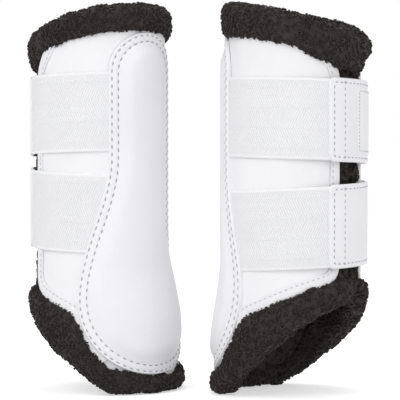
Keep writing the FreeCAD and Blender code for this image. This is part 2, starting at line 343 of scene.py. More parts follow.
class Shader:
    """A material's node tree with one principled surface."""

    def __init__(self, name: str) -> None:
        """Starts an empty material."""
        self.material = bpy.data.materials.new(name)
        self.material.use_nodes = True
        self.tree = self.material.node_tree
        self.tree.nodes.clear()
        self.surface = self.tree.nodes.new("ShaderNodeBsdfPrincipled")
        output = self.tree.nodes.new("ShaderNodeOutputMaterial")
        self.tree.links.new(self.surface.outputs["BSDF"], output.inputs["Surface"])

    def node(self, kind: str, settings: dict[str, Any], inputs: dict[Any, Any], out: Any = 0) -> Value:
        """Adds a node and gives one of its outputs."""
        return Value(self, add_node(self.tree, kind, settings, inputs).outputs[out])

    def objects(self, scale: float = 1.0) -> Value:
        """Object coordinates in metres, scaled."""
        place = self.node("ShaderNodeTexCoord", {}, {}, "Object")
        return self.node("ShaderNodeVectorMath", {"operation": "SCALE"}, {0: place, "Scale": scale})

    def cloth(self) -> tuple[Value, Value]:
        """The two directions of the piece's own UV map, in metres."""
        uv = self.node("ShaderNodeUVMap", {"uv_map": "cloth"}, {})
        split = add_node(self.tree, "ShaderNodeSeparateXYZ", {}, {0: uv})
        return Value(self, split.outputs[0]), Value(self, split.outputs[1])

    def noise(self, scale: float, detail: float = 3.0) -> Value:
        """Soft noise between 0 and 1."""
        inputs = {"Vector": self.objects(), "Scale": scale, "Detail": detail, "Roughness": 0.55}
        return self.node("ShaderNodeTexNoise", {}, inputs)

    def tint(self, factor: Value, colour: Colour, dark: float, low: float, high: float) -> None:
        """Colours the surface.

        Args:
            factor: Where the surface is dark or light.
            colour: Its full colour.
            dark: Share of the colour that its darkest places keep.
            low: Factor at which it is darkest.
            high: Factor at which it has its full colour.
        """
        self.blend(factor, shade(colour, dark), colour, low, high)

    def blend(self, factor: Value, dark: Colour, light: Colour, low: float, high: float) -> None:
        """Colours the surface from one colour to another.

        Args:
            factor: Where the surface has which colour.
            dark: Colour at the low factor.
            light: Colour at the high factor.
            low: The low factor.
            high: The high factor.
        """
        ramp = add_node(self.tree, "ShaderNodeValToRGB", {}, {"Fac": factor})
        for stop, place, colour in zip(ramp.color_ramp.elements, (low, high), (dark, light)):
            stop.position, stop.color = place, (*colour, 1.0)
        self.feed({"Base Color": Value(self, ramp.outputs[0])})

    def relief(self, height: Value, strength: float, distance: float) -> None:
        """Feeds the surface's normal from a height."""
        inputs = {"Height": height, "Strength": strength, "Distance": distance}
        self.feed({"Normal": self.node("ShaderNodeBump", {}, inputs)})

    def feed(self, inputs: dict[str, Value | float | tuple[float, ...]]) -> None:
        """Links or sets inputs of the surface."""
        for socket, value in inputs.items():
            if isinstance(value, Value):
                self.tree.links.new(value.socket, self.surface.inputs[socket])
            else:
                self.surface.inputs[socket].default_value = value


def shade(colour: Colour, factor: float) -> Colour:
    """A colour made darker or lighter."""
    return (colour[0] * factor, colour[1] * factor, colour[2] * factor)


@dataclass(frozen=True)
class Coating:
    """What all finishes share."""

    name: str
    colour: Colour

    def make(self) -> Finish:
        """Builds the material."""
        shader = Shader(self.name)
        self.paint(shader)
        return shader.material

    def paint(self, s: Shader) -> None:
        """Paints the material; each finish has its own."""
        raise NotImplementedError


@dataclass(frozen=True)
class Leather(Coating):
    """Smooth coated leather with a fine grain."""

    roughness: float = 0.42
    grain: float = 900.0
    depth: float = 0.35

    def paint(self, s: Shader) -> None:
        """Paints the material."""
        cells = s.node("ShaderNodeTexVoronoi", {"feature": "DISTANCE_TO_EDGE"},
                       {"Vector": s.objects(), "Scale": self.grain})
        broad, fine = s.noise(28.0), s.noise(2600.0, 2.0)
        s.tint(broad * 0.7 + fine * 0.3, self.colour, 0.955, 0.3, 0.62)
        s.feed({"Roughness": broad * 0.14 + (self.roughness - 0.07), "Specular IOR Level": 0.45})
        s.relief(cells * 1.6 + fine * 0.25 + broad * 1.5, self.depth, 0.00022)


@dataclass(frozen=True)
class Webbing(Coating):
    """Woven elastic: steep twill lines in broad rows, between two plain selvedges."""

    rib: float = 0.0125
    thread: float = 0.0015
    weft: float = 0.0009
    slope: float = 0.42
    selvedge: float = 0.0232

    def paint(self, s: Shader) -> None:
        """Paints the material."""
        along, across = s.cloth()
        row = (across * (0.5 / self.rib) + 0.25).part().above(0.5) * 2.0 - 1.0
        slant = (along + across * row * self.slope).ribs(self.thread)
        ribs = across.ribs(self.weft) * 0.3
        border = (across.size() - self.selvedge).above(0.0)
        cloth = slant * (1.0 - border) + border * 0.75
        s.tint(cloth * 0.6 + s.noise(45.0, 2.0) * 0.3 + ribs * 0.3, self.colour, 0.86, 0.12, 0.7)
        s.feed({"Roughness": 0.72, "Sheen Weight": 0.2, "Sheen Roughness": 0.5})
        s.relief(cloth + ribs, 0.8, 0.0003)


@dataclass(frozen=True)
class Fleece(Coating):
    """Curly pile, nearly black brown with paler tips."""

    tip: Colour

    def paint(self, s: Shader) -> None:
        """Paints the material."""
        s.blend(s.noise(420.0, 4.0) * 0.65 + s.noise(55.0) * 0.35, self.colour, self.tip, 0.36, 0.7)
        s.feed({"Roughness": 0.78, "Sheen Weight": 0.16, "Sheen Roughness": 0.42,
                "Sheen Tint": (0.62, 0.5, 0.46, 1.0)})
        s.relief(s.noise(1800.0, 2.0), 0.6, 0.0003)


@dataclass(frozen=True)
class Thread(Coating):
    """Twisted sewing thread."""

    def paint(self, s: Shader) -> None:
        """Paints the material."""
        twist = s.noise(5200.0, 1.0)
        s.tint(twist, self.colour, 0.8, 0.3, 0.65)
        s.feed({"Roughness": 0.6, "Sheen Weight": 0.2})
        s.relief(twist, 0.4, 0.0001)


@dataclass(frozen=True)
class Tape(Coating):
    """Hook or loop tape: a pile of tiny dots on a woven ground."""

    pitch: float
    hard: float

    def paint(self, s: Shader) -> None:
        """Paints the material."""
        along, across = s.cloth()
        dots = along.wave(self.pitch) * across.wave(self.pitch)
        tone = dots.size() * self.hard + s.noise(2400.0) * (1.0 - self.hard)
        s.tint(tone, self.colour, 0.78, 0.1, 0.6)
        s.feed({"Roughness": 0.8, "Sheen Weight": 0.3})
        s.relief(tone, 0.9, 0.0005)


@dataclass(frozen=True)
class Satin(Coating):
    """Close satin weave of a bare woven label."""

    def paint(self, s: Shader) -> None:
        """Paints the material."""
        along, across = s.cloth()
        weave, pick = across.ribs(0.00045), along.ribs(0.0011)
        s.tint(weave * 0.5 + pick * 0.2 + s.noise(90.0, 2.0) * 0.3, self.colour, 0.93, 0.1, 0.7)
        s.feed({"Roughness": 0.5, "Sheen Weight": 0.15})
        s.relief(weave + pick * 0.4, 0.35, 0.00012)


class Finishes:
    """All finishes of the pair, each made once."""

    def __init__(self) -> None:
        """Builds the materials."""
        self.shell = Leather("white_shell", (0.93, 0.925, 0.94)).make()
        self.pad = Leather("pad_skin", (0.91, 0.905, 0.93), 0.4, 760.0, 0.3).make()
        self.tab = Leather("tab_leather", (0.90, 0.895, 0.915), 0.44, 820.0, 0.4).make()
        self.binding = Leather("edge_binding", (0.89, 0.885, 0.905), 0.46, 1100.0, 0.45).make()
        self.elastic = Webbing("white_elastic", (0.94, 0.94, 0.955)).make()
        self.fleece = Fleece("dark_fleece", (0.0072, 0.0048, 0.0042), (0.036, 0.026, 0.0235)).make()
        self.thread = Thread("grey_thread", (0.46, 0.46, 0.51)).make()
        self.tab_thread = Thread("white_thread", (0.66, 0.66, 0.70)).make()
        self.hook = Tape("hook_tape", (0.66, 0.66, 0.69), 0.0022, 0.85).make()
        self.loop = Tape("loop_tape", (0.74, 0.74, 0.78), 0.0030, 0.25).make()
        self.label = Satin("woven_label", (0.93, 0.93, 0.95)).make()


# ---------------------------------------------------------------- meshes
def linked(name: str, data: Any) -> Piece:
    """Makes an object of some data and puts it in the scene."""
    made = bpy.data.objects.new(name, data)
    bpy.context.collection.objects.link(made)
    return made


def closed_mesh(name: str, verts: list[Vector], faces: list[Face],
                uvs: list[Point2], material: Finish) -> Piece:
    """Makes an object of one closed surface with its normals outward.

    Args:
        name: Name of the piece.
        verts: Corner points in metres.
        faces: Corner numbers of each face.
        uvs: Place of each corner on the flat cloth, in metres.
        material: The piece's finish.

    Returns:
        The new object.
    """
    mesh = bpy.data.meshes.new(name)
    mesh.from_pydata([tuple(v) for v in verts], [], faces)
    work = bmesh.new()
    work.from_mesh(mesh)
    bmesh.ops.recalc_face_normals(work, faces=work.faces)
    if work.calc_volume(signed=True) < 0:
        bmesh.ops.reverse_faces(work, faces=work.faces)
    work.to_mesh(mesh)
    work.free()
    layer = mesh.uv_layers.new(name="cloth")
    for loop in mesh.loops:
        layer.data[loop.index].uv = uvs[loop.vertex_index]
    mesh.polygons.foreach_set("use_smooth", [True] * len(mesh.polygons))
    mesh.set_sharp_from_angle(angle=math.radians(SHARP_FROM))
    mesh.materials.append(material)
    return linked(name, mesh)


def grid_faces(rows: int, columns: int, start: int) -> list[Face]:
    """Quads between closed rings whose corners are stored ring by ring.

    Args:
        rows: Number of rings.
        columns: Number of corners in a ring.
        start: Number of the first corner.

    Returns:
        The faces.
    """
    faces = []
    for r in range(rows - 1):
        for c in range(columns):
            a = start + r * columns + c
            b = start + r * columns + (c + 1) % columns
            faces.append((a, b, b + columns, a + columns))
    return faces


def loft_faces(rows: int, columns: int) -> list[Face]:
    """Faces of a body lofted through closed rings, with its two ends."""
    last = (rows - 1) * columns
    ends = [tuple(range(columns - 1, -1, -1)), tuple(range(last, last + columns))]
    return grid_faces(rows, columns, 0) + ends


def tube_sheet(name: str, place: Placement, sections: list[list[Point3]],
               material: Finish) -> Piece:
    """Closed body lofted through closed sections.

    Args:
        name: Name of the piece.
        place: The boot's placement.
        sections: For each station a closed ring of (angle, radius, height).
        material: The piece's finish.

    Returns:
        The new object.
    """
    verts, uvs = [], []
    for ring in sections:
        for angle, radius, height in ring:
            verts.append(place.at(angle, radius, height))
            uvs.append((angle * ARC * MM, height * MM))
    return closed_mesh(name, verts, loft_faces(len(sections), len(sections[0])), uvs, material)


def sheet_ring(angle: float, low: float, high: float, inside: Radius, outside: Radius,
               rows: int) -> list[Point3]:
    """Closed section of a sheet at one angle, with softly rounded edges.

    Args:
        angle: The section's angle.
        low: Height of its lower edge.
        high: Height of its upper edge.
        inside: Inner radius.
        outside: Outer radius.
        rows: Steps from edge to edge.

    Returns:
        Points of the ring.
    """
    wall = (outside(angle, low) - inside(angle, low)) / 2
    edge = min(wall, (high - low) / 4)
    levels = [low, low + edge * 0.3] + spread(low + edge, high - edge, rows) + [high - edge * 0.3, high]
    ring = []
    for face, order in ((outside, 1), (inside, -1)):
        for z in levels[::order]:
            soft = 1.0 - rounding(min(z - low, high - z) / edge)
            ring.append((angle, face(angle, z) - order * wall * 0.75 * soft, z))
    return ring


def patch(name: str, outline: Callable[[float], list[Point2]], insets: list[float],
          spine: tuple[Point2, Point2], rings: int, height: Callable[[float, Point2], float],
          under: Callable[[float, Point2], float], wrap: Callable[[Point2, float], Vector],
          material: Finish) -> Piece:
    """Closed padded patch that lies on a curved surface.

    Args:
        name: Name of the piece.
        outline: Flat outline for an inset from the edge.
        insets: Insets of the border rings, the first one 0.
        spine: Segment that the inner rings close on.
        rings: Number of inner rings.
        height: Height of the face for an inset and a flat point.
        under: The same for the underside.
        wrap: Places a flat point at a height.
        material: The piece's finish.

    Returns:
        The new object.
    """
    low, high = Vector(spine[0]), Vector(spine[1])
    axis = high - low
    length = axis.length_squared

    def nearest(point: Point2) -> Vector:
        """Closest point of the spine."""
        t = min(1.0, max(0.0, (Vector(point) - low).dot(axis) / length)) if length else 0.0
        return low + axis * t

    rows: list[tuple[float, list[Point2]]] = [(d, outline(d)) for d in insets]
    base = rows[-1][1]
    for i in range(1, rings + 1):
        part = i / rings
        ring = [tuple(Vector(point).lerp(nearest(point), part * 0.985)) for point in base]
        rows.append((insets[-1] + part * 100.0, ring))
    count = len(base)
    verts, uvs, faces = [], [], []
    for shape, flip in ((height, 1), (under, -1)):
        start = len(verts)
        for inset, ring in rows[::flip]:
            for point in ring:
                verts.append(wrap(point, shape(inset, point)))
                uvs.append((point[0] * MM, point[1] * MM))
        faces += grid_faces(len(rows), count, start)
    half = len(rows) * count
    faces += [(i, (i + 1) % count, 2 * half - count + (i + 1) % count, 2 * half - count + i)
              for i in range(count)]
    along = [Vector(p).dot(axis) for p in rows[-1][1]]
    for start, flip in ((half - count, False), (half, True)):
        for face in zipped(along):
            corners = [start + i for i in face]
            faces.append(tuple(reversed(corners)) if flip else tuple(corners))
    return closed_mesh(name, verts, faces, uvs, material)


def zipped(along: list[float]) -> list[tuple[int, int, int]]:
    """Closes a narrow ring by joining its two long sides with triangles.

    Args:
        along: Place of each point of the ring along its length.

    Returns:
        The triangles.
    """
    count = len(along)
    first, last = along.index(min(along)), along.index(max(along))
    near, far = first, first
    faces = []
    while near != last or far != last:
        ahead, behind = (near + 1) % count, (far - 1) % count
        if far == last or (near != last and along[ahead] <= along[behind]):
            faces.append((near, ahead, far))
            near = ahead
        else:
            faces.append((near, behind, far))
            far = behind
    return [f for f in faces if len(set(f)) == 3]


def inset_by(points: list[Point2], distance: float, closed: bool = True) -> list[Point2]:
    """Moves a line to its left along its normals, which is inwards for an anticlockwise outline.

    Args:
        points: The line.
        distance: How far to move it.
        closed: True where the line closes on itself.

    Returns:
        The moved line.
    """
    moved = []
    count = len(points)
    for i, (x, y) in enumerate(points):
        ahead, behind = points[(i + 1) % count], points[i - 1]
        if not closed:
            ahead, behind = points[min(i + 1, count - 1)], points[max(i - 1, 0)]
        dx, dy = ahead[0] - behind[0], ahead[1] - behind[1]
        size = math.hypot(dx, dy) or 1.0
        moved.append((x - dy / size * distance, y + dx / size * distance))
    return moved


def rounded_box(width: float, height: float, radius: float) -> list[Point2]:
    """Rounded rectangle about the origin, anticlockwise, with points along its sides.

    Args:
        width: Full width.
        height: Full height.
        radius: Corner radius.

    Returns:
        The outline.
    """
    points: list[Point2] = []
    corners = ((1, -1, -90.0), (1, 1, 0.0), (-1, 1, 90.0), (-1, -1, 180.0))
    ends = []
    for sx, sy, start in corners:
        cx, cy = sx * (width / 2 - radius), sy * (height / 2 - radius)
        ends.append([(cx + radius * cosine(a), cy + radius * sine(a)) for a in spread(start, start + 90.0, 6)])
    for i, corner in enumerate(ends):
        points += corner
        first, last = corner[-1], ends[(i + 1) % 4][0]
        points += [(first[0] + (last[0] - first[0]) * k / 12, first[1] + (last[1] - first[1]) * k / 12)
                   for k in range(1, 12)]
    return points


# ---------------------------------------------------------------- geometry nodes
class NodeTree:
    """A geometry node tree with named inputs."""

    def __init__(self, name: str, inputs: dict[str, tuple[str, Any]]) -> None:
        """Starts the tree with its geometry sockets and named inputs."""
        self.tree = bpy.data.node_groups.new(name, "GeometryNodeTree")
        face = self.tree.interface
        face.new_socket("Geometry", in_out="INPUT", socket_type="NodeSocketGeometry")
        face.new_socket("Geometry", in_out="OUTPUT", socket_type="NodeSocketGeometry")
        self.sockets: dict[str, str] = {}
        for key, (kind, value) in inputs.items():
            item = face.new_socket(key, in_out="INPUT", socket_type=kind)
            if value is not None:
                item.default_value = value
            self.sockets[key] = item.identifier
        self.entry = self.tree.nodes.new("NodeGroupInput").outputs

    def add(self, kind: str, inputs: dict[Any, Any], out: Any = 0, **settings: Any) -> bpy.types.NodeSocket:
        """Adds a node and gives one of its outputs."""
        return add_node(self.tree, kind, settings, inputs).outputs[out]

    def finish(self, geometry: bpy.types.NodeSocket) -> "NodeTree":
        """Ends the tree in Realize Instances and Set Material."""
        real = self.add("GeometryNodeRealizeInstances", {"Geometry": geometry})
        dressed = self.add("GeometryNodeSetMaterial", {"Geometry": real, "Material": self.entry["Material"]})
        self.tree.links.new(dressed, self.tree.nodes.new("NodeGroupOutput").inputs[0])
        return self

    def apply(self, target: Piece, values: dict[str, Any]) -> Piece:
        """Runs the tree on an object and keeps the result as its plain mesh.

        Args:
            target: The object.
            values: Values of the named inputs.

        Returns:
            The same object with its new mesh.
        """
        modifier = target.modifiers.new("nodes", "NODES")
        modifier.node_group = self.tree
        for key, value in values.items():
            modifier[self.sockets[key]] = value
        bpy.context.view_layer.update()
        graph = bpy.context.evaluated_depsgraph_get()
        mesh = bpy.data.meshes.new_from_object(target.evaluated_get(graph))
        target.modifiers.clear()
        old = target.data
        target.data = mesh
        bpy.data.meshes.remove(old)
        mesh.name = target.name
        return target


def stitch_tree() -> NodeTree:
    """Rows of stitches along the edges of a mesh.

    Returns:
        The tree.
    """
    tree = NodeTree("stitches", {
        "Pitch": ("NodeSocketFloat", 0.0048), "Length": ("NodeSocketFloat", 0.003),
        "Thickness": ("NodeSocketFloat", 0.0008), "Material": ("NodeSocketMaterial", None)})
    ins = tree.entry
    curve = tree.add("GeometryNodeMeshToCurve", {"Mesh": ins["Geometry"]})
    points = tree.add("GeometryNodeResampleCurve", {"Curve": curve, "Length": ins["Pitch"]}, mode="LENGTH")
    bead = tree.add("GeometryNodeMeshUVSphere", {"Segments": 6, "Rings": 5, "Radius": 0.5})
    size = tree.add("ShaderNodeCombineXYZ", {"X": ins["Length"], "Y": ins["Thickness"], "Z": ins["Thickness"]})
    stitch = tree.add("GeometryNodeTransform", {"Geometry": bead, "Scale": size})
    turn = tree.add("FunctionNodeAlignRotationToVector",
                    {"Vector": tree.add("GeometryNodeInputTangent", {})}, axis="X")
    return tree.finish(tree.add("GeometryNodeInstanceOnPoints", {
        "Points": points, "Instance": stitch, "Rotation": turn}))


def pile_tree() -> NodeTree:
    """Short curly locks all over a surface, with the surface kept below them.

    Returns:
        The tree.
    """
    tree = NodeTree("fleece_pile", {
        "Density": ("NodeSocketFloat", 200000.0), "Lock": ("NodeSocketFloat", 0.001),
        "Seed": ("NodeSocketInt", 3), "Material": ("NodeSocketMaterial", None)})
    ins = tree.entry
    seed = ins["Seed"]
    woolly = tree.add("GeometryNodeInputNamedAttribute", {"Name": "woolly"}, data_type="FLOAT")
    chosen = tree.add("ShaderNodeMath", {0: woolly, 1: 0.9}, operation="GREATER_THAN")
    points = add_node(tree.tree, "GeometryNodeDistributePointsOnFaces", {"distribute_method": "RANDOM"}, {
        "Mesh": ins["Geometry"], "Selection": chosen, "Density": ins["Density"], "Seed": seed}).outputs
    spiral = tree.add("GeometryNodeCurveSpiral", {
        "Resolution": 6, "Rotations": 0.95, "Start Radius": 1.0, "End Radius": 0.5, "Height": 0.9})
    ring = tree.add("GeometryNodeCurvePrimitiveCircle", {"Resolution": 3, "Radius": 0.5})
    lock = tree.add("GeometryNodeCurveToMesh", {"Curve": spiral, "Profile Curve": ring, "Fill Caps": True})
    turn = tree.add("FunctionNodeRandomValue", {0: (-0.5, -0.5, -3.14), 1: (0.5, 0.5, 3.14), "Seed": seed},
                    data_type="FLOAT_VECTOR")
    grow = tree.add("FunctionNodeRandomValue", {2: 0.7, 3: 1.2, "Seed": seed}, 1, data_type="FLOAT")
    size = tree.add("ShaderNodeMath", {0: grow, 1: ins["Lock"]}, operation="MULTIPLY")
    copies = tree.add("GeometryNodeInstanceOnPoints", {
        "Points": points["Points"], "Instance": lock, "Rotation": points["Rotation"], "Scale": size})
    turned = tree.add("GeometryNodeRotateInstances", {"Instances": copies, "Rotation": turn, "Local Space": True})
    joined = tree.tree.nodes.new("GeometryNodeJoinGeometry")
    for geometry in (turned, ins["Geometry"]):
        tree.tree.links.new(geometry, joined.inputs[0])
    return tree.finish(joined.outputs[0])


# ---------------------------------------------------------------- pieces of a boot
@dataclass
class Dresser:
    """Puts finished pieces in place of the solids; pieces that ride a body are fixed to it, the rest keep their baked
    place.
    """

    side: Side
    finishes: Finishes
    stitch_share: float = 0.56
    fold_span: Point2 = (-15.0, 15.0)
    fold_radius: float = 46.0
    strap_span: Point2 = (15.0, 24.0)
    tab_span: Point2 = (92.0, 103.0)
    strap_radius: float = 43.0

    @property
    def form(self) -> BootForm:
        """The boot's shape."""
        return FORMS[self.side]

    @property
    def place(self) -> Placement:
        """The boot's placement."""
        return placement(self.side)

    def name(self, word: str) -> str:
        """The boot's own name for a piece."""
        return f"{self.side.word}_{word}"

    def settle(self, piece: Piece, nodes: Sequence[str]) -> None:
        """Hides the solids that a piece stands for and logs its face count.

        Args:
            piece: The finished piece.
            nodes: The solids it stands for, without the side's word.
        """
        if nodes:
            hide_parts(*[self.name(n) for n in nodes])
        LOG.info("%s: %d faces", piece.name, len(piece.data.polygons))

    def rides(self, piece: Piece, body: str, slot: str, nodes: Sequence[str] = ()) -> None:
        """Fixes a piece to one body."""
        self.settle(piece, nodes)
        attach(piece, self.name(body))

    def bends(self, piece: Piece, bodies: tuple[str, str], span: Point2, radius: float) -> None:
        """Bakes a piece's placement into its mesh; no bend from one body to the next is set up between the two
        angles.

        Args:
            piece: The piece.
            bodies: The two bodies.
            span: The two angles.
            radius: Distance of the bend from the boot's axis.
        """
        start, end = (self.place.at(angle, radius, 0.0) for angle in span)
        self.name(bodies[0])
        self.name(bodies[1])
        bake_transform(piece)
        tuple(start)
        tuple(end)

    def folds(self, piece: Piece, slot: str, nodes: Sequence[str] = ()) -> None:
        """Hides a piece's solids and bakes its placement; no fold with the front flap is set up."""
        self.settle(piece, nodes)
        self.bends(piece, ("body", "flap"), self.fold_span, self.fold_radius)

    def joins(self, piece: Piece, body: str, slot: str, nodes: Sequence[str] = ()) -> None:
        """Passes a piece of the front flap to folds, which sets up no bend, and fixes any other piece to its body."""
        if body == "flap":
            self.folds(piece, slot, nodes)
        else:
            self.rides(piece, body, slot, nodes)

    def swings(self, piece: Piece, word: str, slot: str, nodes: Sequence[str] = ()) -> None:
        """Hides a strap's solids and bakes its placement; no bend away from the front flap is set up."""
        self.settle(piece, nodes)
        self.bends(piece, ("flap", f"{word}_strap"), self.strap_span, self.strap_radius)

    def peels(self, piece: Piece, word: str, slot: str) -> None:
        """Logs the end of a strap and bakes its placement; no bend with the tab that is sewn to it is set up."""
        self.settle(piece, [])
        self.bends(piece, (f"{word}_strap", f"{word}_tab"), self.tab_span, self.strap_radius)

    def rows(self, name: str, paths: list[list[Vector]], closed: bool, thread: Finish,
             pitch: float = 4.8, thickness: float = 0.95) -> Piece:
        """Sews rows of stitches.

        Args:
            name: Name of the piece, without the side's word.
            paths: Points of each row, in metres.
            closed: True where each row closes on itself.
            thread: The thread's finish.
            pitch: Length of one stitch with its gap, in millimetres.
            thickness: Thickness of the thread, in millimetres.

        Returns:
            The stitches as one piece.
        """
        verts, edges = [], []
        for path in paths:
            first, count = len(verts), len(path)
            verts += [tuple(p) for p in path]
            edges += [(first + i, first + (i + 1) % count) for i in range(count if closed else count - 1)]
        mesh = bpy.data.meshes.new(self.name(name))
        mesh.from_pydata(verts, edges, [])
        return TREES["stitches"].apply(linked(self.name(name), mesh), {
            "Pitch": pitch * MM, "Length": pitch * self.stitch_share * MM, "Thickness": thickness * MM,
            "Material": thread})


@dataclass
class ShellPanels:
    """The smooth shell and the fleece lining behind it, front and back."""

    dresser: Dresser
    step: float = 1.5
    lining_step: float = 1.8
    waves: float = 0.35
    under_collar: float = 2.0

    def wave(self, angle: float, height: float) -> float:
        """Slight unevenness of the soft shell."""
        where = Vector((cosine(angle) * 1.6, sine(angle) * 1.6, height * 0.028))
        return self.waves * noise.noise(where)

    def panel(self, name: str, first: float, last: float, step: float, inside: Radius,
              outside: Radius, bottom: Line, top: Line,
              rows: int, finish: Finish) -> Piece:
        """Lofts one sheet between two angles.

        Args:
            name: Name of the piece.
            first: First angle.
            last: Last angle.
            step: Largest step between sections.
            inside: Inner radius.
            outside: Outer radius.
            bottom: Height of the lower edge.
            top: Height of the upper edge.
            rows: Steps from the lower to the upper edge.
            finish: The sheet's finish.

        Returns:
            The new piece.
        """
        angles = spread(first, last, math.ceil((last - first) / step))
        sections = [sheet_ring(a, bottom(a), top(a), inside, outside, rows) for a in angles]
        return tube_sheet(self.dresser.name(name), self.dresser.place, sections, finish)

    def build(self) -> None:
        """Makes the shell's and the lining's two halves."""
        form, d = self.dresser.form, self.dresser
        outside = lambda a, z: form.radius(a, z) + self.wave(a, z)
        inside = lambda a, z: form.radius(a, z) - form.shell_wall
        low = lambda a: form.cut_line(a) + form.corner(a, form.foot_corner)
        high = lambda a: form.top_line(a) - form.corner(a, form.head_corner) + self.under_collar
        behind = lambda a, z: form.radius(a, z) - form.shell_wall - form.gap
        face = lambda a, z: form.radius(a, z) - form.lining_inside
        floor = lambda a: form.cut_line(a) - self.under_collar
        ceiling = lambda a: form.top_line(a) + self.under_collar
        halves = (("front", "flap", SEAM, form.front_edge), ("back", "body", form.back_edge, SEAM))
        for word, body, first, last in halves:
            sheet = self.panel(f"shell_{word}", first, last, self.step, inside, outside, low, high, 90,
                               d.finishes.shell)
            d.joins(sheet, body, "white_shell", [f"shell_{body}"])
        for word, body, first, last in halves:
            sheet = self.panel(f"lining_{word}", first, last, self.lining_step, face, behind, floor, ceiling, 70,
                               d.finishes.fleece)
            Pile(lump=1.0, density=0.07).grow(sheet, d.finishes.fleece, d.place.centre)
            d.joins(sheet, body, "dark_fleece", [f"lining_{body}"])


@dataclass(frozen=True)
class Pile:
    """Curly pile grown on a piece: lumps of the hide and short locks on it."""

    lump: float = 1.35
    lump_size: float = 8.0
    density: float = 0.25
    lock: float = 1.0
    sink: float = 0.35
    fine_share: float = 0.42

    def grow(self, piece: Piece, finish: Finish,
             centre: Point2 | None = None) -> None:
        """Lumps the piece's surface and covers it with locks.

        Args:
            piece: The piece, whose mesh is replaced.
            finish: The fleece's finish.
            centre: The boot's axis where only the side that faces it is woolly.
        """
        moved, woolly = [], []
        for vertex in piece.data.vertices:
            share = 1.0
            if centre:
                inward = Vector((centre[0] - vertex.co.x, centre[1] - vertex.co.y, 0.0)).normalized()
                share = smooth(inward.dot(vertex.normal) * 2.0 - 0.6)
            broad = noise.noise(vertex.co / (self.lump_size * MM))
            fine = noise.noise(vertex.co / (self.lump_size * self.fine_share * MM))
            shift = ((broad * 0.8 + fine * 0.45) * self.lump - self.sink) * MM * share
            moved.append(vertex.co + vertex.normal * shift)
            woolly.append(share)
        for vertex, place in zip(piece.data.vertices, moved):
            vertex.co = place
        piece.data.update()
        marks = piece.data.attributes.new("woolly", "FLOAT", "POINT")
        marks.data.foreach_set("value", woolly)
        TREES["pile"].apply(piece, {"Density": self.density / MM**2, "Lock": self.lock * MM,
                                    "Material": finish})
        piece.data.polygons.foreach_set("use_smooth", [True] * len(piece.data.polygons))


